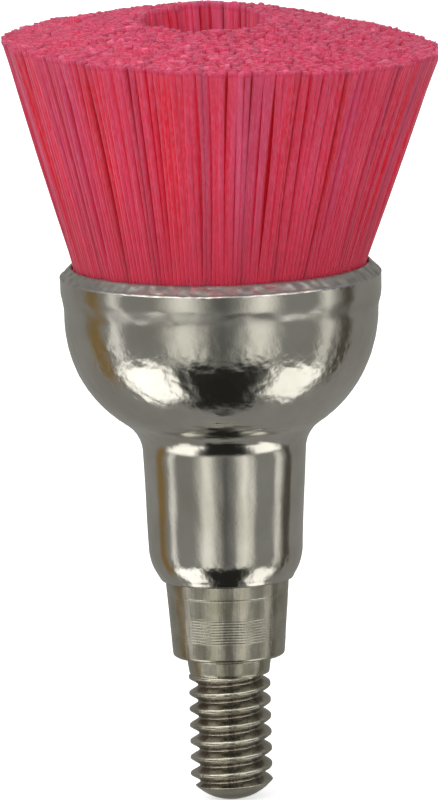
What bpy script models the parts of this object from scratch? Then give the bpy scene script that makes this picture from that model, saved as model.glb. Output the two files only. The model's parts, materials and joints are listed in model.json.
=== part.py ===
"""Screw-in prophy brush: a flared nylon brush head held in a drawn, plated ferrule on a threaded stud.

Metres, +Z up. The origin is on the axis, at the stud's shoulder face, and the thread points down.
The filaments fold round an anchor ring inside the ferrule. Their free lengths are built as a ring of
equal locks, and each lock leans outwards about a line at the foot of its outer side.
"""

import math

import bmesh
import bpy
from mathutils import Matrix, Vector

MM = 0.001

# How finely the pieces are cut
FACETS = 48  # sides of every turned piece
THREAD_FACETS = 32  # straight runs in one turn of the thread
WELD = 1e-7  # points this close become one

# Running gaps between neighbouring pieces
SEAT_GAP = 0.03 * MM  # stud to ferrule
PACK_GAP = 0.05 * MM  # filaments to the metal round them
LOCK_GAP = 0.04 * MM  # lock to lock, and lock to the folded roots

# Threaded stud, from the tip up
THREAD_DIAMETER = 2.0 * MM
THREAD_PITCH = 0.4 * MM
THREAD_DEPTH = 0.22 * MM
CREST_SHARE = 0.2  # of one pitch
ROOT_SHARE = 0.15  # of one pitch
THREAD_LENGTH = 2.845 * MM  # point to relief
POINT_HEIGHT = 0.32 * MM
POINT_INSET = 0.15 * MM  # from the crest to the rim of the domed point
RELIEF_LENGTH = 0.43 * MM
RELIEF_FLARE = 0.07 * MM  # the relief's top past the crest
RELIEF_INSET = 0.03 * MM  # the relief's foot inside the crest
RUNOUT = 0.1 * MM  # where the thread's crest starts to fade below the relief
ROD_CLEARANCE = 0.03 * MM  # what the thread's blank stands clear of crest and root
COLLAR_LENGTH = 1.91 * MM
COLLAR_BOTTOM_RADIUS = 1.365 * MM
COLLAR_TOP_RADIUS = 1.51 * MM
COLLAR_EDGE = 0.08 * MM
HEAD_LIP = 0.06 * MM  # the head past the collar, which keeps the stud in the neck
HEAD_SEAT = 0.67 * MM  # the head's underside above the neck's mouth
HEAD_LENGTH = 2.4 * MM
HEAD_CHAMFER = 0.1 * MM

# Ferrule
WALL = 0.3 * MM
MOUTH_EDGE = 0.06 * MM  # the burnished edge round the collar
MOUTH_HEIGHT = 0.82 * MM
NECK_WALL = 0.28 * MM
NECK_LENGTH = 2.32 * MM
NECK_TAPER = 0.12 * MM  # growth of the neck's radius over its length
SHOULDER_FILLET = 0.9 * MM
BOWL_RADIUS = 3.86 * MM
BOWL_CURVE = 3.2 * MM
BOWL_RISE = 0.4 * MM  # straight stretch above the bowl
CREASE_HEIGHT = 0.07 * MM
BAND_STEP = 0.06 * MM  # the band past the bowl
BAND_HEIGHT = 0.43 * MM
RIM_EDGE = 0.04 * MM  # rounding of the rim's inner corner

# Folded filaments and the ring that holds them
HOLLOW_RADIUS = 1.0 * MM
RING_RADIUS = 1.75 * MM
RING_WIRE = 0.5 * MM
RING_DROP = 2.73 * MM  # rim to ring
RING_GAP = 0.04 * MM
FOLD_THICKNESS = 0.46 * MM  # filaments under the ring
SLIT = 0.1 * MM  # between the two legs of the folds

# Free lengths
LOCKS = 24
LOCK_STEPS = 3
FLARE = math.radians(17.4)
TRIM_HEIGHT = 5.43 * MM  # rim to the face's outer edge
CROWN_RISE = 0.62 * MM  # outer edge to the crown round the hollow
CROWN_RADIUS = 2.1 * MM
TOP_HOLLOW_RADIUS = 1.46 * MM
HOLLOW_EDGE = 0.25 * MM
HINGE_OFFSET = 0.03 * MM  # the hinge line outside the lock's foot


def arc(centre, radius, start, stop, steps):
    """Points on a circle in the (radius, height) plane, both ends included, angles in degrees."""
    points = []
    for step in range(steps + 1):
        angle = math.radians(start + (stop - start) * step / steps)
        points.append((centre[0] + radius * math.cos(angle), centre[1] + radius * math.sin(angle)))
    return points


def clear_scene():
    for obj in list(bpy.data.objects):
        bpy.data.objects.remove(obj, do_unlink=True)
    for group in list(bpy.data.collections):
        bpy.data.collections.remove(group)


def collection(name):
    made = bpy.data.collections.new(name)
    bpy.context.scene.collection.children.link(made)
    return made


def finish(name, colour, roughness, metallic):
    material = bpy.data.materials.new(name)
    material.use_nodes = True
    shader = material.node_tree.nodes["Principled BSDF"]
    shader.inputs["Base Color"].default_value = (*colour, 1.0)
    shader.inputs["Roughness"].default_value = roughness
    shader.inputs["Metallic"].default_value = metallic
    return material


def place(name, mesh, group, material=None):
    """A named object for the mesh, in its collection and with its material."""
    obj = bpy.data.objects.new(name, mesh)
    group.objects.link(obj)
    if material is not None and not mesh.materials:
        mesh.materials.append(material)
    return obj


def smooth(mesh):
    mesh.shade_smooth()
    mesh.set_sharp_from_angle(angle=math.radians(30))


def outline_mesh(name, outline, closed):
    """Edges through (radius, height) points, in the XZ plane."""
    bm = bmesh.new()
    verts = [bm.verts.new((radius, 0.0, height)) for radius, height in outline]
    for first, second in zip(verts, verts[1:]):
        bm.edges.new((first, second))
    if closed:
        bm.edges.new((verts[-1], verts[0]))
    mesh = bpy.data.meshes.new(name)
    bm.to_mesh(mesh)
    bm.free()
    return mesh


def turned(name, outline, group, material=None, closed=True, facets=FACETS):
    """A piece turned about the Z axis; its outline runs down the outer side."""
    obj = place(name, outline_mesh(name, outline, closed), group, material)
    screw = obj.modifiers.new("turn", "SCREW")
    screw.axis = "Z"
    screw.steps = facets
    screw.render_steps = facets
    screw.use_merge_vertices = True
    screw.merge_threshold = WELD
    screw.use_smooth_shade = True
    return obj


def evaluated_mesh(obj, name):
    graph = bpy.context.evaluated_depsgraph_get()
    return bpy.data.meshes.new_from_object(obj.evaluated_get(graph)).copy()


def boolean(obj, cutter, operation):
    modifier = obj.modifiers.new(operation.lower(), "BOOLEAN")
    modifier.operation = operation
    modifier.solver = "EXACT"
    modifier.object = cutter
    cutter.hide_render = True
    cutter.display_type = "WIRE"


# Heights and radii that follow from the driving dimensions

thread_radius = THREAD_DIAMETER / 2
thread_top = -RELIEF_LENGTH
point_height = thread_top - THREAD_LENGTH
mouth_height = COLLAR_LENGTH
mouth_bore = COLLAR_TOP_RADIUS + SEAT_GAP
mouth_radius = mouth_bore + MOUTH_EDGE
head_bottom = mouth_height + HEAD_SEAT
head_top = head_bottom + HEAD_LENGTH
head_radius = COLLAR_TOP_RADIUS + HEAD_LIP
neck_bore = head_radius + SEAT_GAP
neck_bottom = mouth_height + MOUTH_HEIGHT
neck_bottom_radius = neck_bore + NECK_WALL
neck_top = neck_bottom + NECK_LENGTH
neck_top_radius = neck_bottom_radius + NECK_TAPER

# The bowl's arc and the shoulder fillet touch along the line between their centres.
bowl_axis = BOWL_RADIUS - BOWL_CURVE
fillet_axis = neck_top_radius + SHOULDER_FILLET
centre_rise = math.sqrt((BOWL_CURVE + SHOULDER_FILLET) ** 2 - (fillet_axis - bowl_axis) ** 2)
shoulder_angle = math.degrees(math.atan2(centre_rise, bowl_axis - fillet_axis))
bowl_centre = (bowl_axis, neck_top + centre_rise)
fillet_centre = (fillet_axis, neck_top)

crease_bottom = bowl_centre[1] + BOWL_RISE
band_bottom = crease_bottom + CREASE_HEIGHT
band_top = band_bottom + BAND_HEIGHT
band_radius = BOWL_RADIUS + BAND_STEP
rim_bore = band_radius - WALL
rim_height = band_top + WALL

foot_radius = rim_bore - PACK_GAP
roots_top = rim_height
lock_bottom = rim_height + LOCK_GAP
trim_height = rim_height + TRIM_HEIGHT
trim_radius = foot_radius + (trim_height - lock_bottom) * math.tan(FLARE)
crown_height = trim_height + CROWN_RISE
hinge_radius = foot_radius + HINGE_OFFSET


def threaded_rod(bottom, top, group):
    """A one-pitch flank outline swept up a right-handed helix and cut flat at both heights."""
    minor = thread_radius - THREAD_DEPTH
    flank = THREAD_PITCH * (1 - CREST_SHARE - ROOT_SHARE) / 2
    crest = THREAD_PITCH * CREST_SHARE
    start = bottom - THREAD_PITCH
    outline = [
        (thread_radius, start + THREAD_PITCH),
        (thread_radius, start + THREAD_PITCH - crest),
        (minor, start + THREAD_PITCH - crest - flank),
        (minor, start + flank),
        (thread_radius, start),
    ]
    helix = turned("thread_helix", outline, group, closed=False, facets=THREAD_FACETS)
    screw = helix.modifiers["turn"]
    screw.use_merge_vertices = False
    screw.screw_offset = THREAD_PITCH
    screw.iterations = math.ceil((top - start) / THREAD_PITCH) + 1
    mesh = evaluated_mesh(helix, "thread")
    bpy.data.objects.remove(helix, do_unlink=True)

    bm = bmesh.new()
    bm.from_mesh(mesh)
    bmesh.ops.remove_doubles(bm, verts=bm.verts, dist=WELD)
    for height, facing in ((top, 1.0), (bottom, -1.0)):
        bmesh.ops.bisect_plane(
            bm,
            geom=bm.verts[:] + bm.edges[:] + bm.faces[:],
            dist=WELD,
            plane_co=(0, 0, height),
            plane_no=(0, 0, facing),
            clear_outer=True,
        )
        ends = [edge for edge in bm.edges if edge.is_boundary]
        rim = [edge for edge in ends if all(abs(v.co.z - height) < WELD for v in edge.verts)]
        bmesh.ops.contextual_create(bm, geom=rim)
    bmesh.ops.recalc_face_normals(bm, faces=bm.faces)
    bm.to_mesh(mesh)
    bm.free()
    return place("thread_rod", mesh, group)


def build_stud(parts, cutters):
    """Head, collar and relief turned in one piece, joined to a thread with a domed point."""
    clear_radius = thread_radius + ROD_CLEARANCE
    fade = THREAD_DEPTH + 2 * ROD_CLEARANCE
    rod_top = thread_top - RUNOUT + fade
    tip = point_height - POINT_HEIGHT
    rod = threaded_rod(tip - THREAD_PITCH, rod_top, cutters)
    smooth(rod.data)

    point_radius = thread_radius - POINT_INSET
    dome_radius = (point_radius**2 + POINT_HEIGHT**2) / (2 * POINT_HEIGHT)
    dome_angle = math.degrees(math.asin(point_radius / dome_radius))
    dome_centre = (0.0, tip + dome_radius)
    envelope = [
        (0.0, rod_top + ROD_CLEARANCE),
        (clear_radius - fade, rod_top + ROD_CLEARANCE),
        (clear_radius - fade, rod_top),
        (clear_radius, rod_top - fade),
        (clear_radius, point_height + clear_radius - point_radius),
    ]
    envelope += arc(dome_centre, dome_radius, dome_angle - 90, -90, 5)[:-1] + [(0.0, tip)]
    blank = turned("thread_blank", envelope, cutters, closed=False)
    boolean(rod, blank, "INTERSECT")

    collar_slope = (COLLAR_TOP_RADIUS - COLLAR_BOTTOM_RADIUS) / COLLAR_LENGTH
    edge_centre = (COLLAR_BOTTOM_RADIUS + collar_slope * COLLAR_EDGE - COLLAR_EDGE, COLLAR_EDGE)
    outline = [
        (0.0, head_top),
        (head_radius - HEAD_CHAMFER, head_top),
        (head_radius, head_top - HEAD_CHAMFER),
        (head_radius, head_bottom),
        (COLLAR_TOP_RADIUS, head_bottom),
        (COLLAR_TOP_RADIUS, mouth_height),
    ]
    outline += arc(edge_centre, COLLAR_EDGE, 0, -90, 3)
    outline += [
        (thread_radius + RELIEF_FLARE, 0.0),
        (thread_radius - RELIEF_INSET, thread_top),
        (0.0, thread_top),
    ]
    plated = finish("plated_stud", (0.56, 0.54, 0.46), 0.3, 1.0)
    stud = turned("threaded_stud", outline, parts, plated, closed=False)
    boolean(stud, rod, "UNION")
    return stud


def bowl_side(inset):
    """The ferrule's side from the crease down to the neck's top, moved inwards by inset."""
    side = [(BOWL_RADIUS - inset, crease_bottom)]
    side += arc(bowl_centre, BOWL_CURVE - inset, 0, shoulder_angle - 180, 9)
    side += arc(fillet_centre, SHOULDER_FILLET + inset, shoulder_angle, 180, 4)[1:]
    return side


def build_ferrule(parts):
    """A drawn cup: rolled rim, plain band, round bowl, and a neck rolled in round the collar."""
    lip = arc((rim_bore, band_top), WALL, 80, 0, 4)
    mouth_inset = neck_bottom_radius - mouth_radius
    roll = (MOUTH_HEIGHT**2 + mouth_inset**2) / (2 * mouth_inset)
    roll_angle = math.degrees(math.asin(MOUTH_HEIGHT / roll))

    outside = lip + [(band_radius, band_bottom)] + bowl_side(0.0)
    outside += arc((neck_bottom_radius - roll, neck_bottom), roll, 0, -roll_angle, 5)
    inside = [
        (mouth_bore, mouth_height),
        (mouth_bore, head_bottom - SEAT_GAP),
        (neck_bore, head_bottom - SEAT_GAP),
        (neck_bore, neck_top - SEAT_GAP),
    ]
    inside += reversed(bowl_side(WALL))
    inside += [(rim_bore, band_bottom), (rim_bore, rim_height - RIM_EDGE)]
    plated = finish("plated_ferrule", (0.62, 0.6, 0.55), 0.16, 1.0)
    return turned("ferrule", outside + inside, parts, plated)


def build_anchor_ring(parts):
    bpy.ops.mesh.primitive_torus_add(
        major_segments=FACETS,
        minor_segments=10,
        major_radius=RING_RADIUS,
        minor_radius=RING_WIRE / 2,
        location=(0, 0, rim_height - RING_DROP),
    )
    ring = bpy.context.object
    ring.name = "anchor_ring"
    for group in list(ring.users_collection):
        group.objects.unlink(ring)
    parts.objects.link(ring)
    ring.data.materials.append(finish("anchor_wire", (0.55, 0.42, 0.2), 0.35, 1.0))
    smooth(ring.data)
    return ring


def build_roots(parts, nylon):
    """The clamped part of the filaments: two legs and a fold that wraps the anchor ring."""
    ring_centre = (RING_RADIUS, rim_height - RING_DROP)
    fold = RING_WIRE / 2 + RING_GAP + FOLD_THICKNESS
    eye = RING_WIRE / 2 + RING_GAP
    eye_angle = math.degrees(math.acos(SLIT / 2 / eye))
    wall = BOWL_CURVE - WALL - PACK_GAP
    spread = -28  # degrees down the bowl, where the outer leg leaves the wall for the fold
    outline = [
        (foot_radius, roots_top),
        (foot_radius, band_bottom + PACK_GAP),
        (bowl_axis + wall, crease_bottom),
    ]
    outline += arc(bowl_centre, wall, 0, spread, 6)
    outline += arc(ring_centre, fold, spread, -180, 6)
    outline += [
        (ring_centre[0] - fold, roots_top),
        (ring_centre[0] - SLIT / 2, roots_top),
    ]
    outline += arc(ring_centre, eye, 180 - eye_angle, 360 + eye_angle, 10)
    outline += [(ring_centre[0] + SLIT / 2, roots_top)]
    return turned("bristle_roots", outline, parts, nylon)


def lock_mesh(nylon):
    """One sector of the flared brush, with flat sides and its origin on its hinge line."""
    edge_centre = (TOP_HOLLOW_RADIUS + HOLLOW_EDGE, crown_height - HOLLOW_EDGE)
    outline = [
        (CROWN_RADIUS, crown_height),
        (trim_radius, trim_height),
        (foot_radius, lock_bottom),
        (HOLLOW_RADIUS, lock_bottom),
    ]
    outline += arc(edge_centre, HOLLOW_EDGE, 180, 90, 3)
    sector = math.tau / LOCKS
    mesh = outline_mesh("bristle_lock", outline, closed=True)
    bm = bmesh.new()
    bm.from_mesh(mesh)
    bmesh.ops.spin(
        bm,
        geom=bm.verts[:] + bm.edges[:],
        cent=(0, 0, 0),
        axis=(0, 0, 1),
        angle=sector,
        steps=LOCK_STEPS,
    )
    bmesh.ops.rotate(bm, verts=bm.verts, cent=(0, 0, 0), matrix=Matrix.Rotation(-sector / 2, 3, "Z"))
    for side in (1, -1):
        normal = Vector((-math.sin(sector / 2), side * math.cos(sector / 2), 0))
        bmesh.ops.bisect_plane(
            bm,
            geom=bm.verts[:] + bm.edges[:] + bm.faces[:],
            dist=WELD,
            plane_co=normal * (-LOCK_GAP / 2),
            plane_no=normal,
            clear_outer=True,
        )
    bmesh.ops.holes_fill(bm, edges=[edge for edge in bm.edges if edge.is_boundary])
    bmesh.ops.recalc_face_normals(bm, faces=bm.faces)
    bmesh.ops.translate(bm, verts=bm.verts, vec=(-hinge_radius, 0, -lock_bottom))
    bm.to_mesh(mesh)
    bm.free()
    mesh.materials.append(nylon)
    smooth(mesh)
    return mesh


def build_locks(parts, nylon):
    mesh = lock_mesh(nylon)
    for index in range(LOCKS):
        azimuth = math.tau * index / LOCKS
        lock = place(f"bristle_lock_{index + 1:02d}", mesh, parts)
        lock.location = (hinge_radius * math.cos(azimuth), hinge_radius * math.sin(azimuth), lock_bottom)
        lock.rotation_euler = (0, 0, azimuth)


def main():
    clear_scene()
    parts = collection("prophy_brush")
    cutters = collection("cutters")
    nylon = finish("pink_nylon", (0.72, 0.07, 0.12), 0.45, 0.0)
    build_stud(parts, cutters)
    build_ferrule(parts)
    build_anchor_ring(parts)
    build_roots(parts, nylon)
    build_locks(parts, nylon)


main()
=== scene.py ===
import json
import math
import bpy
import numpy as np
from mathutils import Matrix, Vector

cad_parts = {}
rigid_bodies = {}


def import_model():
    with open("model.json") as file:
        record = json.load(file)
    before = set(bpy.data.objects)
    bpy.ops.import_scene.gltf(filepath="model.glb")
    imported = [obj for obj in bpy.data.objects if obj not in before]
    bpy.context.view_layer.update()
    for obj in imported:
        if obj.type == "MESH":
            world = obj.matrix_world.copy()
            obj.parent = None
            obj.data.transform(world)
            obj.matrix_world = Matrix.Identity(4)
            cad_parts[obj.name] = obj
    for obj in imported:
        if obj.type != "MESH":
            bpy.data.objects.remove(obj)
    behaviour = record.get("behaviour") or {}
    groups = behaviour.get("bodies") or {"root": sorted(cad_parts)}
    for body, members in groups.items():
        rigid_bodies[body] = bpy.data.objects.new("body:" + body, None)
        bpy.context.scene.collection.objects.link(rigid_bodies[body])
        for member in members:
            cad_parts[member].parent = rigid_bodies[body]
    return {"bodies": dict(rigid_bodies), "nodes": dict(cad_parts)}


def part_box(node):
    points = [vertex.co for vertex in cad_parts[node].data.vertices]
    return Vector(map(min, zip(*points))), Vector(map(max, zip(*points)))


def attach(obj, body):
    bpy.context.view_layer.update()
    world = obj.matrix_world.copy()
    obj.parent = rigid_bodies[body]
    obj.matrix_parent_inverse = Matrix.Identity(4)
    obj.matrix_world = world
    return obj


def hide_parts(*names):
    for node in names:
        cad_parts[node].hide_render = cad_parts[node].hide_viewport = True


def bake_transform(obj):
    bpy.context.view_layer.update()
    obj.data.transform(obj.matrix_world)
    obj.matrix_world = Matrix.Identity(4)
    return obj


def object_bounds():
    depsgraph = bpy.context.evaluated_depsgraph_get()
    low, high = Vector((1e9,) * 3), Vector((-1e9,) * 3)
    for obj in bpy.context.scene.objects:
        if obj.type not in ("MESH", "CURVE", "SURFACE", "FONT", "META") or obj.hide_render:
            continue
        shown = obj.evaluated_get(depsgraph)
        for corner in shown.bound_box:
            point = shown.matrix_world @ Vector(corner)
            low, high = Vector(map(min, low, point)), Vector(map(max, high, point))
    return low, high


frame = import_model()
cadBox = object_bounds()

mm = 0.001
holder = "holder"                                 # the body that the metal rides on
lockBodies = sorted(b for b in frame["bodies"] if b.startswith("lock_"))
ferruleLow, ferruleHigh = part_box("ferrule")
studLow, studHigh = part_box("threaded_stud")
rootsLow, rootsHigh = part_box("bristle_roots")
rimZ = ferruleHigh.z
mouthZ = ferruleLow.z
print("frame loaded:", len(frame["nodes"]), "nodes")


def arc(centre, radius, start, stop, steps):
    angles = np.radians(np.linspace(start, stop, steps + 1))
    return [(centre[0] + radius * math.cos(a), centre[1] + radius * math.sin(a)) for a in angles]


def evenly(outline, spacing):
    # points at an even spacing along a line of (radius, height) points
    line = np.array(outline)
    steps = np.linalg.norm(np.diff(line, axis=0), axis=1)
    along = np.concatenate([[0.0], np.cumsum(steps)])
    count = max(2, int(along[-1] / spacing) + 1)
    at = np.linspace(0, along[-1], count)
    return np.stack([np.interp(at, along, line[:, 0]), np.interp(at, along, line[:, 1])], axis=1)


def ripple(points, wavelength, seed, waves=36):
    # a smooth random field of about unit height; wavelength in metres
    rng = np.random.default_rng(seed)
    heading = rng.normal(size=(waves, 3))
    heading /= np.linalg.norm(heading, axis=1)[:, None]
    pitch = wavelength * rng.uniform(0.7, 1.5, waves)
    phase = rng.uniform(0, math.tau, waves)
    field = np.zeros(len(points))
    for way, length, start in zip(heading, pitch, phase):
        field += np.cos(points @ way * (math.tau / length) + start)
    return field * math.sqrt(2 / waves)


def fade(value, low, high):
    t = np.clip((value - low) / (high - low), 0, 1)
    return t * t * (3 - 2 * t)


def ringGrid(radii, heights, turns, wrap):
    # rings of points round the axis; radii may differ along each ring. Returns points and faces.
    rings, sides = radii.shape
    points = np.stack([radii * np.cos(turns), radii * np.sin(turns), heights], axis=2).reshape(-1, 3)
    ring = np.arange(rings if wrap else rings - 1)
    side = np.arange(sides)
    a = (ring[:, None] * sides + side[None, :]).ravel()
    b = (ring[:, None] * sides + (side[None, :] + 1) % sides).ravel()
    c = (((ring[:, None] + 1) % rings) * sides + (side[None, :] + 1) % sides).ravel()
    d = (((ring[:, None] + 1) % rings) * sides + side[None, :]).ravel()
    return points, np.stack([a, d, c, b], axis=1)


def makePiece(name, points, faces, materials, flat=()):
    mesh = bpy.data.meshes.new(name)
    mesh.from_pydata(points.tolist(), [], [list(map(int, face)) for face in faces])
    mesh.update()
    smooth = np.ones(len(mesh.polygons), bool)
    smooth[list(flat)] = False
    mesh.polygons.foreach_set("use_smooth", smooth)
    for material in materials:
        mesh.materials.append(material)
    piece = bpy.data.objects.new(name, mesh)
    bpy.context.scene.collection.objects.link(piece)
    return piece


def newFinish(name):
    material = bpy.data.materials.new(name)
    material.use_nodes = True
    return material, material.node_tree, material.node_tree.nodes["Principled BSDF"]


def addNoise(tree, scale, detail=3.0, stretch=(1, 1, 1)):
    # a noise over the piece's own coordinates; scale counts features per metre
    where = tree.nodes.new("ShaderNodeTexCoord")
    mapping = tree.nodes.new("ShaderNodeMapping")
    mapping.inputs["Scale"].default_value = stretch
    noise = tree.nodes.new("ShaderNodeTexNoise")
    noise.inputs["Scale"].default_value = scale
    noise.inputs["Detail"].default_value = detail
    tree.links.new(where.outputs["Object"], mapping.inputs["Vector"])
    tree.links.new(mapping.outputs["Vector"], noise.inputs["Vector"])
    return noise.outputs["Fac"]


def addRamp(tree, factor, stops):
    ramp = tree.nodes.new("ShaderNodeValToRGB")
    marks = ramp.color_ramp.elements
    for index, (place, colour) in enumerate(stops):
        mark = marks[index] if index < len(marks) else marks.new(place)
        mark.position = place
        mark.color = (*colour, 1.0)
    tree.links.new(factor, ramp.inputs["Fac"])
    return ramp.outputs["Color"]


def addRange(tree, factor, low, high):
    span = tree.nodes.new("ShaderNodeMapRange")
    span.inputs["To Min"].default_value = low
    span.inputs["To Max"].default_value = high
    tree.links.new(factor, span.inputs["Value"])
    return span.outputs["Result"]


def addMath(tree, operation, first, second=None):
    node = tree.nodes.new("ShaderNodeMath")
    node.operation = operation
    for socket, value in zip(node.inputs, (first, second)):
        if value is None:
            continue
        if isinstance(value, (int, float)):
            socket.default_value = value
        else:
            tree.links.new(value, socket)
    return node.outputs["Value"]


def addBump(tree, shader, height, depth, strength=1.0, under=None):
    bump = tree.nodes.new("ShaderNodeBump")
    bump.inputs["Distance"].default_value = depth
    bump.inputs["Strength"].default_value = strength
    tree.links.new(height, bump.inputs["Height"])
    if under is not None:
        tree.links.new(under, bump.inputs["Normal"])
    tree.links.new(bump.outputs["Normal"], shader.inputs["Normal"])
    return bump.outputs["Normal"]


def addTint(tree, colour, factor, shade, label=""):
    # colour fades to shade as factor goes to 1
    node = tree.nodes.new("ShaderNodeMix")
    node.label = label
    node.data_type = "RGBA"
    socket = {s.identifier: s for s in node.inputs}
    tree.links.new(factor, socket["Factor_Float"])
    tree.links.new(colour, socket["A_Color"])
    socket["B_Color"].default_value = (*shade, 1.0)
    return next(s for s in node.outputs if s.identifier == "Result_Color")


def addAttribute(tree, name):
    node = tree.nodes.new("ShaderNodeAttribute")
    node.attribute_name = name
    return node.outputs["Fac"]


def setPoints(piece, name, values):
    # a value for each point, which the finishes read by its name
    layer = piece.data.attributes.new(name, "FLOAT", "POINT")
    layer.data.foreach_set("value", values.astype(np.float32))


def stretched(points, upright):
    # the same points, squeezed or drawn out along the axis
    return points * np.array([1.0, 1.0, upright])


plateLook = {
    "bright": (0.68, 0.665, 0.62),                # nickel, where it is clean
    "dull": (0.55, 0.535, 0.48),                  # where it is hazed
    "roughness": (0.07, 0.18),
    "hazePerMetre": 700,
    "hazeStops": (0.35, 0.7),
    "grainPerMetre": 14000,
    "grainDepth": 0.003 * mm,
    "pitsPerMetre": 6000,
    "pitDepth": 0.007 * mm,
    "burr": (0.25, 0.245, 0.23),                  # the torn lip
    "burrRoughness": 0.22,                        # added to the plate's own
    "burrMetal": 0.7,
}


def plateFinish():
    material, tree, shader = newFinish("nickelPlate")
    haze = addNoise(tree, plateLook["hazePerMetre"], detail=4.0)
    grain = addNoise(tree, plateLook["grainPerMetre"], detail=2.0)
    pits = addNoise(tree, plateLook["pitsPerMetre"], detail=1.5)
    burr = addAttribute(tree, "burr")
    dullAt, brightAt = plateLook["hazeStops"]
    colour = addRamp(tree, haze, [(dullAt, plateLook["dull"]), (brightAt, plateLook["bright"])])
    colour = addTint(tree, colour, burr, plateLook["burr"])
    tree.links.new(colour, shader.inputs["Base Color"])
    smooth = addRange(tree, haze, *reversed(plateLook["roughness"]))
    rough = addRange(tree, burr, 0.0, plateLook["burrRoughness"])
    tree.links.new(addMath(tree, "ADD", smooth, rough), shader.inputs["Roughness"])
    under = addBump(tree, shader, grain, plateLook["grainDepth"], strength=0.4)
    pitted = addMath(tree, "MULTIPLY", pits, addAttribute(tree, "dimple"))
    addBump(tree, shader, pitted, plateLook["pitDepth"], strength=0.8, under=under)
    tree.links.new(addRange(tree, burr, 1.0, plateLook["burrMetal"]), shader.inputs["Metallic"])
    return material


studLook = {
    "bright": (0.54, 0.52, 0.45),
    "dull": (0.38, 0.36, 0.285),
    "grooveShade": (0.165, 0.142, 0.118),               # painted shade in the thread's grooves
    "grooveShadeShare": 0.7,
    "roughness": (0.15, 0.36),
    "hazePerMetre": 1600,
    "hazeStops": (0.3, 0.65),
    "streaksPerMetre": 9000,
    "streakStretch": (1.0, 1.0, 0.12),            # long along the axis
    "streakDepth": 0.008 * mm,
}


def studFinish():
    material, tree, shader = newFinish("turnedPlate")
    haze = addNoise(tree, studLook["hazePerMetre"], detail=4.0)
    streak = addNoise(tree, studLook["streaksPerMetre"], detail=2.0, stretch=studLook["streakStretch"])
    dullAt, brightAt = studLook["hazeStops"]
    colour = addRamp(tree, haze, [(dullAt, studLook["dull"]), (brightAt, studLook["bright"])])
    # painted shade: the colour darkens deeper in the thread's grooves
    shadedGroove = addRange(tree, addAttribute(tree, "grooveShade"), 0.0, studLook["grooveShadeShare"])
    colour = addTint(tree, colour, shadedGroove, studLook["grooveShade"])
    tree.links.new(colour, shader.inputs["Base Color"])
    tree.links.new(addRange(tree, streak, *studLook["roughness"]), shader.inputs["Roughness"])
    addBump(tree, shader, streak, studLook["streakDepth"], strength=0.6)
    shader.inputs["Metallic"].default_value = 1.0
    return material


wireLook = {
    "bright": (0.58, 0.44, 0.2),
    "dull": (0.34, 0.25, 0.11),
    "roughness": (0.3, 0.5),
    "hazePerMetre": 2500,
    "hazeStops": (0.3, 0.7),
    "hazeDepth": 0.003 * mm,
}


def wireFinish():
    material, tree, shader = newFinish("drawnWire")
    haze = addNoise(tree, wireLook["hazePerMetre"], detail=4.0)
    dullAt, brightAt = wireLook["hazeStops"]
    colour = addRamp(tree, haze, [(dullAt, wireLook["dull"]), (brightAt, wireLook["bright"])])
    tree.links.new(colour, shader.inputs["Base Color"])
    tree.links.new(addRange(tree, haze, *wireLook["roughness"]), shader.inputs["Roughness"])
    addBump(tree, shader, haze, wireLook["hazeDepth"], strength=0.5)
    shader.inputs["Metallic"].default_value = 1.0
    return material


nylonLook = {
    "side": {
        "deep": (0.44, 0.008, 0.024),
        "fair": (0.36, 0.045, 0.113),
        "pale": (0.46, 0.10, 0.19),
        "gloss": 0.3,
    },
    "cut": {
        "deep": (0.31, 0.018, 0.046),
        "fair": (0.305, 0.027, 0.071),
        "pale": (0.50, 0.12, 0.20),
        "gloss": 0.1,
    },
    "fairAt": 0.92,                               # most strands lie between deep and fair
    "foot": (0.29, 0.018, 0.045),                 # painted shade, darker towards the ferrule
    "footShadeEnds": 0.5,
    "tipHighlight": (0.2, 0.2, 0.2),                    # painted highlight: how much paler a filament is at its cut end
    "tipHighlightStarts": 0.88,
    "streak": (0.47, 0.14, 0.245),                # fine paler streaks along a filament
    "streaks": (-0.45, 0.65),
    "streaksPerMetre": 16000,
    "streakStretch": (1.0, 1.0, 0.06),
    "through": (0.62, 0.012, 0.035),              # stands in for light that comes through from behind
    "throughStrength": 0.13,
    "roughness": (0.42, 0.6),
    "drawMarksPerMetre": 12000,
    "drawMarkStretch": (1.0, 1.0, 0.1),
    "drawMarkDepth": 0.002 * mm,
    "glow": 0.9,                                  # light carried inside the nylon
    "glowColour": (1.0, 0.4, 0.5),
    "glowReach": 0.35 * mm,
    "bloom": 0.3,                                 # pale haze seen along the edges
    "bloomRoughness": 0.45,
    "bloomTint": (1.0, 0.72, 0.86),
    "refraction": 1.53,
}
black = (0.0, 0.0, 0.0)
white = (1.0, 1.0, 1.0)


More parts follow.
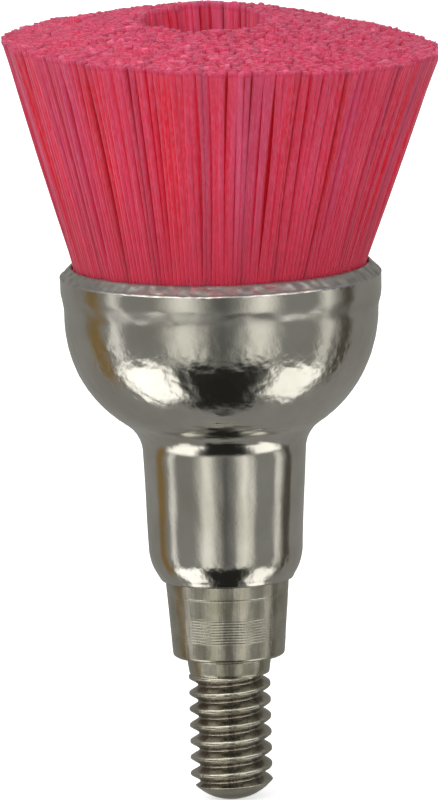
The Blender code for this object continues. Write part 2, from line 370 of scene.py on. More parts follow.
def nylonFinish(name, shades):
    look = nylonLook
    material, tree, shader = newFinish(name)
    strand = addAttribute(tree, "strand")
    stops = [(0.0, shades["deep"]), (look["fairAt"], shades["fair"]), (1.0, shades["pale"])]
    colour = addRamp(tree, strand, stops)
    # painted shade: the filaments darken towards the ferrule
    foot = addRamp(tree, addAttribute(tree, "rise"), [(0.0, white), (look["footShadeEnds"], black)])
    streak = addNoise(tree, look["streaksPerMetre"], detail=2.0, stretch=look["streakStretch"])
    colour = addTint(tree, colour, addRange(tree, streak, *look["streaks"]), look["streak"])
    # painted highlight: the filaments grow paler towards their cut ends
    tipHighlight = addRamp(tree, addAttribute(tree, "rise"), [(look["tipHighlightStarts"], black), (1.0, look["tipHighlight"])])
    colour = addTint(tree, colour, tipHighlight, look["side"]["pale"])
    tree.links.new(addTint(tree, colour, foot, look["foot"]), shader.inputs["Base Color"])
    shader.inputs["Emission Color"].default_value = (*look["through"], 1.0)
    shader.inputs["Emission Strength"].default_value = look["throughStrength"]
    tree.links.new(addRange(tree, strand, *look["roughness"]), shader.inputs["Roughness"])
    marks = addNoise(tree, look["drawMarksPerMetre"], detail=2.0, stretch=look["drawMarkStretch"])
    addBump(tree, shader, marks, look["drawMarkDepth"], strength=0.4)
    shader.subsurface_method = "BURLEY"
    shader.inputs["Subsurface Weight"].default_value = look["glow"]
    shader.inputs["Subsurface Radius"].default_value = look["glowColour"]
    shader.inputs["Subsurface Scale"].default_value = look["glowReach"]
    shader.inputs["Sheen Weight"].default_value = look["bloom"]
    shader.inputs["Sheen Roughness"].default_value = look["bloomRoughness"]
    shader.inputs["Sheen Tint"].default_value = (*look["bloomTint"], 1.0)
    shader.inputs["Specular IOR Level"].default_value = shades["gloss"]
    shader.inputs["IOR"].default_value = look["refraction"]
    return material


nickelPlate = plateFinish()
turnedPlate = studFinish()
drawnWire = wireFinish()
nylonSide = nylonFinish("nylonSide", nylonLook["side"])
nylonCut = nylonFinish("nylonCut", nylonLook["cut"])
print("finishes made")


ferruleShape = {
    "wall": 0.30,                                 # all in mm
    "lipDrop": 0.25,                              # the lip slopes outwards by this much
    "lipFlat": 0.05,
    "lipRound": 0.01,
    "lipBurr": 0.006,                             # the lip's outer edge stands out a little
    "creaseBelowRim": 0.73,
    "bandStep": 0.075,                            # from the band in to the bowl, over a soft roll
    "rollAbove": 0.12,
    "rollLength": 0.5,
    "bowlBelowCrease": 0.47,
    "bowlCurve": 3.2,
    "shoulderFillet": 0.9,
    "neckTop": 2.0,                               # radii of the neck
    "neckBottom": 1.88,
    "mouth": 1.60,
    "mouthHeight": 0.82,
    "mouthBead": 0.03,
    "mouthBore": 1.54,
    "mouthBoreHeight": 0.6,
    "neckBore": 1.60,
    "sides": 416,
    "spacing": 0.05,
}
# how the plate is dented and scuffed: depths, widths and heights in mm, zones as heights above the
# mouth, or below the rim for those marked so
ferruleWear = {
    "lipFrom": (0.28, 0.24),                      # below the rim
    "bandFrom": (0.74, 0.68),                     # below the rim
    "bowlTo": (0.76, 0.72),                       # below the rim
    "creaseDents": (0.12, 0.16),                  # below the crease, and how wide
    "dent": 0.0013,
    "dentWidths": (0.30, 0.12),
    "hammered": (0.4, 0.8),                       # share of the dents, and how much more in the zone
    "hammeredFrom": (4.4, 5.0),
    "hammeredTo": (6.0, 6.5),
    "lipDent": 0.0038,
    "lipDentWidths": (0.22, 0.09),
    "drawn": 0.0009,                              # long marks up the neck
    "drawnWidth": 0.35,
    "neckTo": (3.4, 4.0),
    "rolled": (0.3, 1.2),                         # the rolled-in mouth is more dented than the neck
    "rolledTo": (0.5, 0.9),
    "bowlFrom": (3.3, 3.7),
    "scuff": 0.0016,
    "scuffWidth": 0.5,
    "scuffFrom": (3.4, 3.7),
    "scuffTo": (4.3, 4.6),
    "pinch": 0.0045,                              # unevenness of the crease
    "pinchWidth": 0.7,
    "warp": 0.010,                                # the whole cup is not quite round
    "warpWidth": 3.5,
    "creaseWander": (-0.04, -0.1),                # the crease is not quite level: towards +X and +Y
    "creaseDrop": 0.03,
    "creaseReach": 0.3,
}


def ferruleOutline():
    s = ferruleShape
    band = ferruleHigh.x / mm
    rim = rimZ / mm
    mouth = mouthZ / mm
    bowl = band - s["bandStep"]
    inside = band - s["wall"]
    crease = rim - s["creaseBelowRim"]
    neckBottomZ = mouth + s["mouthHeight"]
    bowlAxis = bowl - s["bowlCurve"]
    bowlZ = crease - s["bowlBelowCrease"]
    filletAxis = s["neckTop"] + s["shoulderFillet"]
    rise = math.sqrt((s["bowlCurve"] + s["shoulderFillet"]) ** 2 - (filletAxis - bowlAxis) ** 2)
    filletZ = bowlZ - rise
    turn = math.degrees(math.atan2(rise, bowlAxis - filletAxis))
    edgeZ = rim - s["lipDrop"]
    small = s["lipRound"]
    outer = [(inside + small / 2, rim), (inside + s["lipFlat"], rim - small)]
    outer += [(band - 2 * small, edgeZ + small), (band + s["lipBurr"], edgeZ)]
    outer += [(band + s["lipBurr"] * 2 / 3, edgeZ - 1.5 * small), (band, edgeZ - 3 * small)]
    for t in np.linspace(0, 1, 10):
        outer.append((band - s["bandStep"] * fade(t, 0, 1), crease + s["rollAbove"] - s["rollLength"] * t))
    outer += arc((bowlAxis, bowlZ), s["bowlCurve"], 0, turn - 180, 60)
    outer += arc((filletAxis, filletZ), s["shoulderFillet"], turn, 180, 24)[1:]
    inset = s["neckBottom"] - s["mouth"]
    roll = (s["mouthHeight"] ** 2 + inset**2) / (2 * inset)
    bead = s["mouthBead"]
    end = math.degrees(math.asin((s["mouthHeight"] - 2 * bead) / roll))
    outer += arc((s["neckBottom"] - roll, neckBottomZ), roll, 0, -end, 16)
    outer += arc((s["mouth"] + small, mouth + bead), bead, 20, -80, 5)
    inner = [(s["mouthBore"], mouth + small), (s["mouthBore"], mouth + s["mouthBoreHeight"])]
    inner += [(s["neckBore"], mouth + s["mouthBoreHeight"] + 4 * small), (s["neckBore"], filletZ)]
    inner += reversed(arc((filletAxis, filletZ), s["shoulderFillet"] + s["wall"], turn, 180, 6))
    inner += reversed(arc((bowlAxis, bowlZ), s["bowlCurve"] - s["wall"], 0, turn - 180, 10))
    inner += [(bowl - s["wall"], crease), (inside, crease + 7 * small), (inside, rim - 3 * small)]
    return evenly(outer, s["spacing"]), np.array(inner)


def ferruleDents(flat):
    # how far each point of the outside is pushed out, in metres, then the burr and dimple values
    w = ferruleWear
    z = flat[:, 2] / mm
    up = z - mouthZ / mm
    below = rimZ / mm - z
    lip = 1 - fade(below, *reversed(w["lipFrom"]))
    band = (1 - fade(below, *reversed(w["bandFrom"]))) * (1 - lip)
    bowl = fade(up, *w["bowlFrom"]) * fade(below, *reversed(w["bowlTo"]))
    neck = 1 - fade(up, *w["neckTo"])
    plain, more = w["hammered"]
    hammered = plain + more * fade(up, *w["hammeredFrom"]) * (1 - fade(up, *w["hammeredTo"]))
    smooth, rough = w["rolled"]
    rolled = smooth + rough * (1 - fade(up, *w["rolledTo"]))
    scuffed = fade(up, *w["scuffFrom"]) * (1 - fade(up, *w["scuffTo"]))
    lower, width = w["creaseDents"]
    atCrease = np.exp(-(((ferruleShape["creaseBelowRim"] + lower - below) / width) ** 2))

    broad, fine = w["dentWidths"]
    dent = w["dent"] * hammered * (ripple(flat, broad * mm, seed=3) + 0.6 * ripple(flat, fine * mm, seed=4))
    broad, fine = w["lipDentWidths"]
    lipDent = w["lipDent"] * (ripple(flat, broad * mm, seed=5) + 0.7 * ripple(flat, fine * mm, seed=6))
    drawn = w["drawn"] * ripple(stretched(flat, 0.3), w["drawnWidth"] * mm, seed=8)
    warp = w["warp"] * ripple(flat, w["warpWidth"] * mm, seed=9, waves=12)
    pinch = w["pinch"] * ripple(stretched(flat, 1.6), w["pinchWidth"] * mm, seed=14) * atCrease
    scuff = w["scuff"] * ripple(stretched(flat, 5), w["scuffWidth"] * mm, seed=15) * scuffed
    push = warp + pinch + scuff + dent * (bowl + 0.3 * band) + lipDent * lip
    push += (drawn + rolled * dent) * neck
    burr = lip * (0.7 + 0.3 * ripple(flat, 0.3 * mm, seed=12)) + 0.35 * atCrease
    dimple = bowl * (hammered - 0.3) + neck * (rolled - 0.3) * 0.8 + lip
    return push * mm, np.clip(burr, 0, 1), np.clip(dimple, 0.06, 1)


def buildFerrule():
    s = ferruleShape
    w = ferruleWear
    outer, inner = ferruleOutline()
    outline = np.concatenate([outer, inner]) * mm
    turns = np.linspace(0, math.tau, s["sides"], endpoint=False)[None, :].repeat(len(outline), 0)
    radii = outline[:, 0][:, None].repeat(s["sides"], 1)
    heights = outline[:, 1][:, None].repeat(s["sides"], 1)
    flat = np.stack([radii * np.cos(turns), radii * np.sin(turns), heights], axis=2).reshape(-1, 3)
    push, burr, dimple = ferruleDents(flat)
    outside = np.zeros(len(outline))
    outside[: len(outer)] = 1
    push *= outside.repeat(s["sides"])
    edge = np.gradient(outline, axis=0)
    edge /= np.linalg.norm(edge, axis=1)[:, None] + 1e-12
    across = np.stack([-edge[:, 1], edge[:, 0]], axis=1)
    radii = radii + push.reshape(radii.shape) * across[:, 0][:, None]
    heights = heights + push.reshape(radii.shape) * across[:, 1][:, None]
    near = np.exp(-(((heights / mm - rimZ / mm + s["creaseBelowRim"]) / w["creaseReach"]) ** 2))
    wander = w["creaseWander"][0] * np.cos(turns) + w["creaseWander"][1] * np.sin(turns)
    heights = heights + near * (wander - w["creaseDrop"]) * mm
    points, faces = ringGrid(radii, heights, turns, wrap=True)
    piece = makePiece("platedFerrule", points, faces, [nickelPlate])
    setPoints(piece, "burr", burr)
    setPoints(piece, "dimple", dimple)
    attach(piece, holder)
    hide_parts("ferrule")


buildFerrule()
print("ferrule made")


studShape = {
    "threadRadius": 1.0,                          # all in mm
    "pitch": 0.4,
    "depth": 0.22,
    "crestShare": 0.14,
    "rootShare": 0.1,
    "flankCurve": 0.45,                           # 0 for straight flanks
    "crestAtRight": -0.74,                        # height of a crest on the +X side
    "threadFrom": 0.035,                          # depths below the relief where the thread starts
    "threadStarts": (0.04, 0.08),
    "pointRadius": 0.85,
    "pointHeight": 0.32,
    "reliefLength": 0.43,
    "reliefBottom": 0.98,
    "reliefTop": 1.045,
    "undercut": 0.05,
    "chamfer": 0.03,
    "collarBottom": 1.365,
    "collarTop": 1.51,
    "collarLength": 1.91,
    "collarEdge": 0.08,
    "headRadius": 1.57,
    "headBottom": 2.58,
    "headChamfer": 0.1,
    "axisRadius": 0.02,
    "groovePitch": 0.068,                         # the tool rings on the collar
    "grooveDepth": 0.0055,
    "grooveWander": (0.01, 0.006),
    "grooves": (0.42, 1.12),                      # heights between which they lie
    "groovesFade": 0.06,
    "ringHeight": 1.56,                           # one deeper ring above them
    "ringDepth": 0.006,
    "ringWidth": 0.02,
    "sides": 192,
    "spacing": {"collar": 0.0113, "under": 0.05, "thread": 0.0125},
}
studWear = {
    "dent": 0.0008,                               # all in mm
    "threadDent": 0.0018,                         # more on the thread
    "dentWidths": (0.35, 0.12),
    "drawn": 0.0007,
    "drawnWidth": 0.1,
}


def studOutline():
    s = studShape
    tip = studLow.z / mm
    top = studHigh.z / mm
    radius = s["threadRadius"]
    pointZ = tip + s["pointHeight"]
    dome = (s["pointRadius"] ** 2 + s["pointHeight"] ** 2) / (2 * s["pointHeight"])
    domeTurn = math.degrees(math.asin(s["pointRadius"] / dome))
    slope = (s["collarTop"] - s["collarBottom"]) / s["collarLength"]
    edgeRadius = s["collarBottom"] + slope * s["collarEdge"]
    reliefZ = -s["reliefLength"]
    head = [(s["axisRadius"], top), (s["headRadius"] - s["headChamfer"], top)]
    head += [(s["headRadius"], top - s["headChamfer"]), (s["headRadius"], s["headBottom"])]
    head += [(s["collarTop"], s["headBottom"]), (s["collarTop"], s["collarLength"])]
    collar = [(s["collarTop"], s["collarLength"]), (edgeRadius, s["collarEdge"])]
    under = arc((edgeRadius - s["collarEdge"], s["collarEdge"]), s["collarEdge"], 0, -90, 6)
    under += [(s["reliefTop"], 0.0), (s["reliefBottom"], reliefZ)]
    under += [(s["reliefBottom"] - s["undercut"], reliefZ - s["chamfer"])]
    starts, full = s["threadStarts"]
    thread = [(radius - s["chamfer"], reliefZ - starts), (radius, reliefZ - full)]
    thread += [(radius, pointZ + radius - s["pointRadius"]), (s["pointRadius"], pointZ)]
    point = arc((0, tip + dome), dome, domeTurn - 90, -89.2, 14)
    return np.concatenate([
        np.array(head),
        evenly(collar, s["spacing"]["collar"])[1:],
        evenly(under, s["spacing"]["under"])[1:],
        evenly(thread, s["spacing"]["thread"])[1:],
        np.array(point)[1:],
    ])


def threadFall(heights, turns):
    # 0 on a crest of the thread and 1 in a root
    s = studShape
    flank = (1 - s["crestShare"] - s["rootShare"]) / 2
    lag = (heights - s["crestAtRight"]) / s["pitch"] - turns / math.tau
    lag = np.abs(lag - np.round(lag))
    fall = np.clip((lag - s["crestShare"] / 2) / flank, 0, 1)
    return (1 - s["flankCurve"]) * fall + s["flankCurve"] * fall * fall * (3 - 2 * fall)


def collarRings(heights, turns):
    # depth of the tool rings
    s = studShape
    low, high = s["grooves"]
    ringed = fade(heights, low, low + s["groovesFade"]) * (1 - fade(heights, high - s["groovesFade"], high))
    slow, quick = s["grooveWander"]
    wander = slow * np.sin(turns * 2 + 1.0) + quick * np.sin(turns * 9)
    wave = np.cos((heights + wander) / s["groovePitch"] * math.tau)
    return s["grooveDepth"] * ringed * (0.5 + 0.5 * wave) ** 1.5


def studDents(flat):
    w = studWear
    onThread = (flat[:, 2] < -studShape["reliefLength"] * mm) * w["threadDent"] + w["dent"]
    broad, fine = w["dentWidths"]
    dents = onThread * (ripple(flat, broad * mm, seed=21) + 0.5 * ripple(flat, fine * mm, seed=22))
    return dents + w["drawn"] * ripple(stretched(flat, 0.12), w["drawnWidth"] * mm, seed=23)


def buildStud():
    s = studShape
    sides = s["sides"]
    outline = studOutline()
    turns = np.linspace(0, math.tau, sides, endpoint=False)[None, :].repeat(len(outline), 0)
    radii = outline[:, 0][:, None].repeat(sides, 1)
    heights = outline[:, 1][:, None].repeat(sides, 1)
    fall = threadFall(heights, turns)
    below = heights < -s["reliefLength"] - s["threadFrom"]
    radii = np.where(below, np.minimum(radii, s["threadRadius"] - s["depth"] * fall), radii)
    radii = radii - collarRings(heights, turns)
    single = np.exp(-(((heights - s["ringHeight"]) / s["ringWidth"]) ** 2))
    radii = radii - s["ringDepth"] * single * (radii < s["collarTop"])
    flat = np.stack([radii * np.cos(turns), radii * np.sin(turns), heights], axis=2).reshape(-1, 3) * mm
    offAxis = radii > 0.1
    radii = (radii + studDents(flat).reshape(radii.shape) * offAxis) * mm
    heights = heights * mm
    points, faces = ringGrid(radii, heights, turns, wrap=False)
    top = len(points)
    last = (len(outline) - 1) * sides
    points = np.concatenate([points, [[0, 0, heights[0, 0]], [0, 0, studLow.z]]])
    side = np.arange(sides)
    capTop = [(top, side[i], side[(i + 1) % sides]) for i in range(sides)]
    capTip = [(top + 1, last + side[(i + 1) % sides], last + side[i]) for i in range(sides)]
    piece = makePiece("turnedStud", points, faces.tolist() + capTop + capTip, [turnedPlate])
    # painted shade: none on a crest, full in a root
    grooveShade = np.where(below, fall, 0.0).ravel()
    setPoints(piece, "grooveShade", np.concatenate([grooveShade, [0, 0]]))
    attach(piece, holder)
    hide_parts("threaded_stud")


buildStud()
print("stud made")


brush = {
    "thickness": 0.103,                           # all in mm
    "rimSpacing": 0.101,
    "rowShare": 0.96,                             # rows stand a little closer than that
    "rimOuter": 3.53,
    "rimInner": 1.02,
    "faceOuter": 5.26,
    "faceInner": 1.6,
    "outerEdge": 5.40,                            # heights of the trimmed face above the rim
    "crown": 6.06,
    "crownCurve": 0.9,
    "crownTilt": 0.08,                            # the crown is higher towards +Y
    "hollowShift": (-0.42, -0.1),                 # the hollow is a little off centre
    "faceShift": (0.155, 0.0),
    "cutTilt": (-0.045, 0.0),                     # the face falls towards +X
    "ragged": 0.012,
    "fullness": 1.54,                             # thickness at the face over that at the rim
    "endSwell": 1.80,                             # cut ends are thicker
    "endRound": 0.78,                             # and rounded over at their very tip
    "edgeShare": 0.97,                            # filaments beyond this share keep in line
    "placeJitter": (0.025, 0.03),                 # outwards and sideways
    "lean": 0.03,
    "bow": 0.03,
    "slant": 0.25,                                # of the cut ends
    "flare": 0.92,                                # 1 for straight filaments
    "leanCurve": 1.6,
    "buried": 0.9,                                # length inside the ferrule
    "stations": [-1.0, -0.12, 0.0, 0.12, 0.3, 0.5, 0.7, 0.86, 0.975, 0.99, 1.0],
    "sides": 6,
    "seed": 11,
}
clumps = {
    "apart": 0.62,                                # mm, between clumps at the face
    "reach": 0.1,                                 # the outermost clumps lie beyond the edge
    "jitter": (0.35, 0.3),                        # sideways and outwards, as a share
    "pull": (0.0, 0.11),
    "innerPull": 0.2,                             # filaments gather less inside
    "pullFrom": (0.9, 0.96),
    "lift": 0.018,
}
shades = {
    "middle": 0.47,
    "spread": 0.09,
    "clump": 0.06,
    "band": 0.22,
    "bandWidth": 0.55,                            # mm
    "most": 0.95,
    "paleShare": 0.015,
}
# a few pale filaments stand off on one side
strays = {"turn": -0.12, "halfWidth": 0.035, "share": 0.94, "reach": 1.01}
rng = np.random.default_rng(brush["seed"])


def rimPlaces():
    # rows of filaments packed side by side in the ferrule's mouth
    b = brush
    rows = int((b["rimOuter"] - b["rimInner"]) / (b["rimSpacing"] * b["rowShare"])) + 1
    places = []
    for row in range(rows):
        radius = b["rimInner"] + (b["rimOuter"] - b["rimInner"]) * row / (rows - 1)
        count = int(math.tau * radius / b["rimSpacing"])
        turn = rng.uniform(0, math.tau) + math.tau * np.arange(count) / count
        places.append(np.stack([np.full(count, radius), turn], axis=1))
    return np.concatenate(places)


def facePlaces(rim):
    # where each filament ends, looking down on the face, and how far out it is from 0 to 1
    b = brush
    share = (rim[:, 0] ** 2 - b["rimInner"] ** 2) / (b["rimOuter"] ** 2 - b["rimInner"] ** 2)
    radius = np.sqrt(b["faceInner"] ** 2 + share * (b["faceOuter"] ** 2 - b["faceInner"] ** 2))
    outwards, sideways = b["placeJitter"]
    radius += rng.normal(0, outwards, len(rim)) * (share < b["edgeShare"])
    turn = rim[:, 1] + rng.normal(0, sideways, len(rim)) / radius
    face = np.stack([radius * np.cos(turn), radius * np.sin(turn)], axis=1)
    inward = (1 - share)[:, None] ** 1.5
    return face + inward * np.array(b["hollowShift"]) + np.array(b["faceShift"]), share


def clumpCentres():
    inner = brush["faceInner"]
    width = brush["faceOuter"] - inner
    sideways, outwards = clumps["jitter"]
    rows = int(width / clumps["apart"]) + 1
    centres = []
    for row in range(rows + 1):
        radius = inner + (width + clumps["reach"]) * row / rows
        count = int(math.tau * radius / clumps["apart"])
        start = rng.uniform(0, math.tau)
        turn = start + math.tau * (np.arange(count) + rng.uniform(-sideways, sideways, count)) / count
        reach = radius + rng.uniform(-outwards, outwards, count) * clumps["apart"] * (0 < row < rows)
        centres.append(np.stack([reach * np.cos(turn), reach * np.sin(turn)], axis=1))
    return np.concatenate(centres)


def leanOf(face, share, centres, nearest):
    # how far each filament leans at the face, towards the middle of its clump and by chance
    pull = rng.uniform(*clumps["pull"], len(centres))
    gather = clumps["innerPull"] + (1 - clumps["innerPull"]) * fade(share, *clumps["pullFrom"])
    lean = (centres[nearest] - face) * (pull[nearest] * gather)[:, None]
    inside = share < brush["edgeShare"]
    return lean + rng.normal(0, brush["lean"], lean.shape) * inside[:, None]


def heightOf(face, centres, nearest):
    # the trimmed face: a crown round the hollow that falls to the outer edge
    b = brush
    radial = np.linalg.norm(face - np.array(b["faceShift"]), axis=1)
    crown = np.clip((b["faceOuter"] - radial) / (b["faceOuter"] - b["faceInner"]), 0, 1)
    height = rimZ / mm + b["outerEdge"] + (b["crown"] - b["outerEdge"]) * crown ** b["crownCurve"]
    height += b["crownTilt"] * face[:, 1] * crown
    height += face @ np.array(b["cutTilt"]) + rng.normal(0, b["ragged"], len(face))
    return height + rng.normal(0, clumps["lift"], len(centres))[nearest]


def lockOfEach(centres, nearest):
    # a whole clump belongs to one lock
    turn = np.arctan2(centres[:, 1], centres[:, 0]) % math.tau
    lock = np.round(turn / math.tau * len(lockBodies)).astype(int) % len(lockBodies)
    return lock[nearest]


def shadeOf(face, centres, nearest):
    # 0 is the deepest pink and 1 the palest
    shade = rng.normal(shades["middle"], shades["spread"], len(face))
    shade += rng.normal(0, shades["clump"], len(centres))[nearest]
    onFace = np.concatenate([face, face[:, :1] * 0], axis=1)
    shade += shades["band"] * ripple(onFace, shades["bandWidth"], seed=41)
    strand = np.clip(shade, 0, shades["most"])
    strand[rng.uniform(size=len(face)) < shades["paleShare"]] = 1.0
    return strand


def pathsOf(rim, face, height, lean):
    # the middle of every filament, by filament, station and xyz
    b = brush
    foot = np.stack([rim[:, 0] * np.cos(rim[:, 1]), rim[:, 0] * np.sin(rim[:, 1])], axis=1)
    bow = rng.normal(0, b["bow"], (len(face), 2))
    rim = rimZ / mm
    path = []
    for s in b["stations"]:
        if s < 0:
            flat = foot
            z = np.full(len(face), rim + s * b["buried"])
        else:
            flare = b["flare"] * s + (1 - b["flare"]) * s * s
            flat = foot + (face - foot) * flare + lean * s ** b["leanCurve"] + bow * math.sin(math.pi * s)
            z = rim + (height - rim) * s
        path.append(np.concatenate([flat, z[:, None]], axis=1))
    return np.stack(path, axis=1)


def ringsOf(path):
    # a ring of points round every station of every filament
    b = brush
    sides = b["sides"]
    swell = 1 + (b["fullness"] - 1) * np.clip(b["stations"], 0, 1)
    swell[-2:] = b["endSwell"], b["endRound"] * b["endSwell"]
    start = rng.uniform(0, math.tau, len(path))
    around = start[:, None] + math.tau * np.arange(sides)[None, :] / sides
    circle = np.stack([np.cos(around), np.sin(around)], axis=2) * (b["thickness"] / 2)
    rings = path[:, :, None, :].repeat(sides, 2)
    rings[:, :, :, :2] += circle[:, None, :, :] * swell[None, :, None, None]
    slant = rng.normal(0, b["slant"], (len(path), 2))
    rings[:, -1, :, 2] += (circle * slant[:, None, :]).sum(2)
    return rings


def buildLock(index, rings, strand):
    sides = brush["sides"]
    count = len(brush["stations"])
    per = count * sides
    side = np.arange(sides)
    onward = (side + 1) % sides
    walls = np.concatenate([
        np.stack([s * sides + side, s * sides + onward, (s + 1) * sides + onward, (s + 1) * sides + side], 1)
        for s in range(count - 1)
    ])
    offset = (np.arange(len(rings)) * per)[:, None]
    faces = (walls[None, :, :] + offset[:, :, None]).reshape(-1, 4).tolist()
    wallCount = len(faces)
    faces += (offset + (count - 1) * sides + side[None, :]).tolist()
    faces += (offset + side[::-1][None, :]).tolist()
    ends = range(wallCount, len(faces))
    name = f"filamentLock{index + 1:02d}"
    piece = makePiece(name, rings.reshape(-1, 3) * mm, faces, [nylonSide, nylonCut], ends)
    slots = np.zeros(len(faces), np.int32)
    slots[wallCount:] = 1
    step = (np.arange(wallCount) % len(walls)) // sides
    slots[:wallCount][step >= count - 3] = 1
    piece.data.polygons.foreach_set("material_index", slots)
    setPoints(piece, "strand", strand.repeat(per))
    along = np.clip(np.array(brush["stations"]), 0, 1).repeat(sides)
    setPoints(piece, "rise", np.tile(along, len(rings)))
    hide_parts(f"bristle_lock_{index + 1:02d}")
    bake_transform(piece)


def buildBrush():
    rim = rimPlaces()
    face, share = facePlaces(rim)
    centres = clumpCentres()
    nearest = np.linalg.norm(face[:, None, :] - centres[None, :, :], axis=2).argmin(1)
    lean = leanOf(face, share, centres, nearest)
    height = heightOf(face, centres, nearest)
    lockOf = lockOfEach(centres, nearest)
    strand = shadeOf(face, centres, nearest)
    away = np.abs(np.angle(np.exp(1j * (rim[:, 1] - strays["turn"]))))
    astray = (away < strays["halfWidth"]) & (share > strays["share"])
    strand[astray] = 1.0
    face[astray] *= strays["reach"]
    rings = ringsOf(pathsOf(rim, face, height, lean))
    for index, body in enumerate(lockBodies):
        mine = np.flatnonzero(lockOf == index)
        buildLock(index, rings[mine], strand[mine])
    print("filaments:", len(face))


buildBrush()


rootShape = {
    "fold": 0.75,                                 # all in mm: radius of the fold under the ring
    "ringRadius": 1.75,
    "ringDrop": 2.73,                             # drops are below the rim
    "ringSocket": 0.29,
    "slit": 0.05,                                 # half the slit above the ring
    "bowlAxis": 0.66,
    "bowlCurve": 2.84,
    "bowlDrop": 1.2,
    "bandInset": 0.03,
    "bandDrop": 0.8,
    "innerStep": (0.02, 0.4),
    "pleats": 120,
    "pleatDepth": 0.01,
    "topDrop": 0.5,                               # where the folded mass ends
    "sides": 480,
}


def rootOutline():
    s = rootShape
    rim = rimZ / mm
    middle = s["ringRadius"]
    centre = (middle, rim - s["ringDrop"])
    bowl = (s["bowlAxis"], rim - s["bowlDrop"])
    top = rim - s["topDrop"]
    inner = middle - s["fold"]
    step, drop = s["innerStep"]
    outline = [(rootsHigh.x / mm - s["bandInset"], top), (bowl[0] + s["bowlCurve"], rim - s["bandDrop"])]
    outline += arc(bowl, s["bowlCurve"], 0, -28, 8)
    outline += arc(centre, s["fold"], -28, -180, 12)
    outline += [(inner, top - drop), (inner + step, top)]
    outline += [(middle - s["slit"], top)]
    outline += arc(centre, s["ringSocket"], 100, 440, 16)
    outline += [(middle + s["slit"], top)]
    return np.array(outline) * mm


def buildRoots():
    s = rootShape
    outline = rootOutline()
    turns = np.linspace(0, math.tau, s["sides"], endpoint=False)[None, :].repeat(len(outline), 0)
    pleat = s["pleatDepth"] * mm * 0.5 * (np.cos(turns * s["pleats"]) - 1)
    radii = outline[:, 0][:, None] + pleat
    heights = outline[:, 1][:, None].repeat(s["sides"], 1)
    points, faces = ringGrid(radii, heights, turns, wrap=True)
    piece = makePiece("foldedRoots", points, faces, [nylonSide])
    setPoints(piece, "strand", np.clip(0.4 + 0.2 * ripple(points, 0.2 * mm, seed=31), 0, 1))
    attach(piece, holder)
    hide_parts("bristle_roots")


buildRoots()
ring = frame["nodes"]["anchor_ring"]
ring.data.materials.clear()
ring.data.materials.append(drawnWire)
print("roots and anchor ring made")


studio = {
    "floorColour": (0.9, 0.9, 0.89),
    "floorRoughness": 0.9,
    "floorGlow": 0.55,
    "floorSize": 4.0,
    "air": (0.29, 0.285, 0.268),                  # grey all round, below the key light
}


def card(name, across, up, colour):
    # across is azimuth, half width and softness, up is elevation, half height and softness, in degrees
    return {"name": name, "across": across, "up": up, "colour": colour}


# soft cards round the brush, each laid over the ones before it; azimuth 0 is the camera's side
cards = [
    card("sky", across=(0, 105, 35), up=(62, 48, 16), colour=(0.72, 0.715, 0.71)),
    card("key", across=(-42, 40, 16), up=(32, 24, 12), colour=(2.8, 2.78, 2.74)),
    card("fill", across=(44, 32, 14), up=(30, 22, 12), colour=(2.0, 2.0, 2.04)),
    card("frontGap", across=(0, 8, 10), up=(14, 12, 10), colour=(0.6, 0.6, 0.58)),
    card("blueCard", across=(92, 12, 10), up=(22, 18, 10), colour=(0.16, 0.16, 0.34)),
    card("lowFront", across=(0, 96, 3), up=(-18, 20, 6), colour=(0.27, 0.268, 0.25)),
    card("lowGap", across=(0, 6, 7), up=(-14, 17, 8), colour=(0.13, 0.128, 0.122)),
    card("stripeLeft", across=(-28, 8, 14), up=(-14, 17, 6), colour=(1.02, 1.0, 0.92)),
    card("stripeRight", across=(29, 7, 13), up=(-14, 17, 6), colour=(1.04, 1.02, 0.93)),
    card("edgeLeft", across=(-84, 5, 5), up=(-14, 17, 8), colour=(0.95, 0.93, 0.9)),
    card("edgeRight", across=(83, 5, 6), up=(-14, 17, 8), colour=(0.85, 0.84, 0.78)),
    card("panLeft", across=(-70, 24, 8), up=(-46, 15, 4), colour=(1.75, 1.73, 1.66)),
    card("panRight", across=(70, 23, 8), up=(-47, 14, 4), colour=(1.6, 1.58, 1.5)),
    card("pit", across=(0, 38, 13), up=(-54, 20, 5), colour=(0.02, 0.02, 0.018)),
    card("pitLow", across=(0, 58, 10), up=(-73, 6, 5), colour=(0.018, 0.018, 0.016)),
    card("nadir", across=(0, 60, 25), up=(-88, 6, 4), colour=(0.05, 0.05, 0.048)),
    card("brownLeft", across=(-107, 8, 6), up=(-20, 16, 8), colour=(0.26, 0.168, 0.062)),
    card("darkRight", across=(103, 6, 4), up=(-20, 18, 10), colour=(0.085, 0.075, 0.058)),
]


def directionOf(azimuth, elevation):
    a, e = math.radians(azimuth), math.radians(elevation)
    return Vector((math.sin(a) * math.cos(e), -math.cos(a) * math.cos(e), math.sin(e)))


def addWithin(tree, angle, centre, half, soft):
    # 1 inside the card and 0 outside it, with a soft edge
    span = tree.nodes.new("ShaderNodeMapRange")
    span.interpolation_type = "SMOOTHSTEP"
    span.inputs["From Min"].default_value = math.radians(half + soft)
    span.inputs["From Max"].default_value = math.radians(max(half - soft, 0))
    away = addMath(tree, "ABSOLUTE", addMath(tree, "SUBTRACT", angle, math.radians(centre)))
    tree.links.new(away, span.inputs["Value"])
    return span.outputs["Result"]


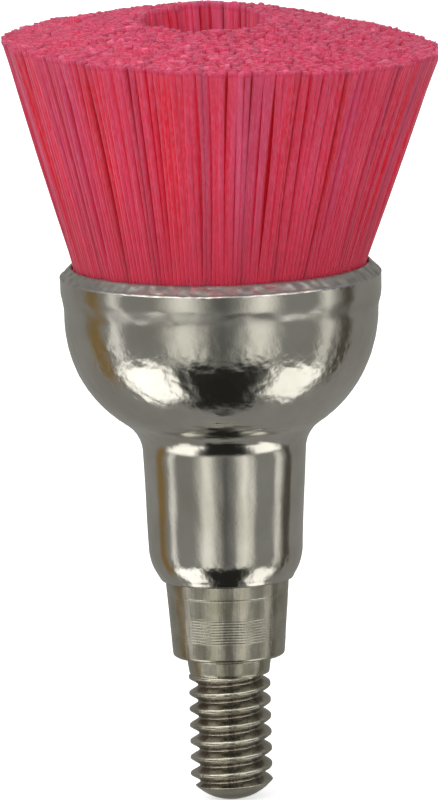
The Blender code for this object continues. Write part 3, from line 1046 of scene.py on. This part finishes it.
def buildAir():
    world = bpy.data.worlds.new("studioAir")
    world.use_nodes = True
    bpy.context.scene.world = world
    tree = world.node_tree
    back = tree.nodes["Background"]
    where = tree.nodes.new("ShaderNodeTexCoord")
    split = tree.nodes.new("ShaderNodeSeparateXYZ")
    tree.links.new(where.outputs["Generated"], split.inputs["Vector"])
    towards = addMath(tree, "MULTIPLY", split.outputs["Y"], -1.0)
    azimuth = addMath(tree, "ARCTAN2", split.outputs["X"], towards)
    elevation = addMath(tree, "ARCSINE", split.outputs["Z"])
    colour = tree.nodes.new("ShaderNodeRGB").outputs["Color"]
    colour.default_value = (*studio["air"], 1.0)
    for each in cards:
        across = addWithin(tree, azimuth, *each["across"])
        up = addWithin(tree, elevation, *each["up"])
        colour = addTint(tree, colour, addMath(tree, "MULTIPLY", across, up), each["colour"], each["name"])
    tree.links.new(colour, back.inputs["Color"])
    pale = tree.nodes.new("ShaderNodeBackground")
    pale.inputs["Color"].default_value = (*white, 1.0)
    path = tree.nodes.new("ShaderNodeLightPath")
    mix = tree.nodes.new("ShaderNodeMixShader")
    tree.links.new(path.outputs["Is Camera Ray"], mix.inputs["Fac"])
    tree.links.new(back.outputs["Background"], mix.inputs[1])
    tree.links.new(pale.outputs["Background"], mix.inputs[2])
    tree.links.new(mix.outputs["Shader"], tree.nodes["World Output"].inputs["Surface"])


def buildFloor():
    half = studio["floorSize"] / 2
    z = cadBox[0].z
    points = np.array([[-half, -half, z], [half, -half, z], [half, half, z], [-half, half, z]])
    material, tree, shader = newFinish("paleFloor")
    shader.inputs["Base Color"].default_value = (*studio["floorColour"], 1.0)
    shader.inputs["Roughness"].default_value = studio["floorRoughness"]
    shader.inputs["Emission Color"].default_value = (*white, 1.0)
    shader.inputs["Emission Strength"].default_value = studio["floorGlow"]
    floor = makePiece("paleFloor", points, [(0, 1, 2, 3)], [material])
    floor.visible_glossy = False
    floor.visible_diffuse = False
    floor.visible_transmission = False
    floor.visible_shadow = False


cameraSet = {
    "elevation": 9.2,
    "distance": 300,                              # mm
    "look": (-0.10, 0.0, 6.30),                   # mm, what the middle of the view looks at
    "roll": -1.35,
    "viewHeight": 19.512,                         # mm of the object's height that the view takes in
}


def buildCamera():
    c = cameraSet
    data = bpy.data.cameras.new("camera")
    data.sensor_width = 36
    data.lens = data.sensor_width * c["distance"] / c["viewHeight"]
    data.clip_start = 0.01
    data.clip_end = 20
    camera = bpy.data.objects.new("camera", data)
    way = directionOf(0, c["elevation"])
    camera.location = Vector(c["look"]) * mm + way * c["distance"] * mm
    camera.rotation_mode = "QUATERNION"
    turn = Matrix.Rotation(math.radians(c["roll"]), 4, way).to_quaternion()
    camera.rotation_quaternion = turn @ (-way).to_track_quat("-Z", "Y")
    bpy.context.scene.collection.objects.link(camera)
    bpy.context.scene.camera = camera


buildAir()
buildFloor()
buildCamera()
bpy.context.scene.view_settings.view_transform = "Standard"
print("studio and camera made")
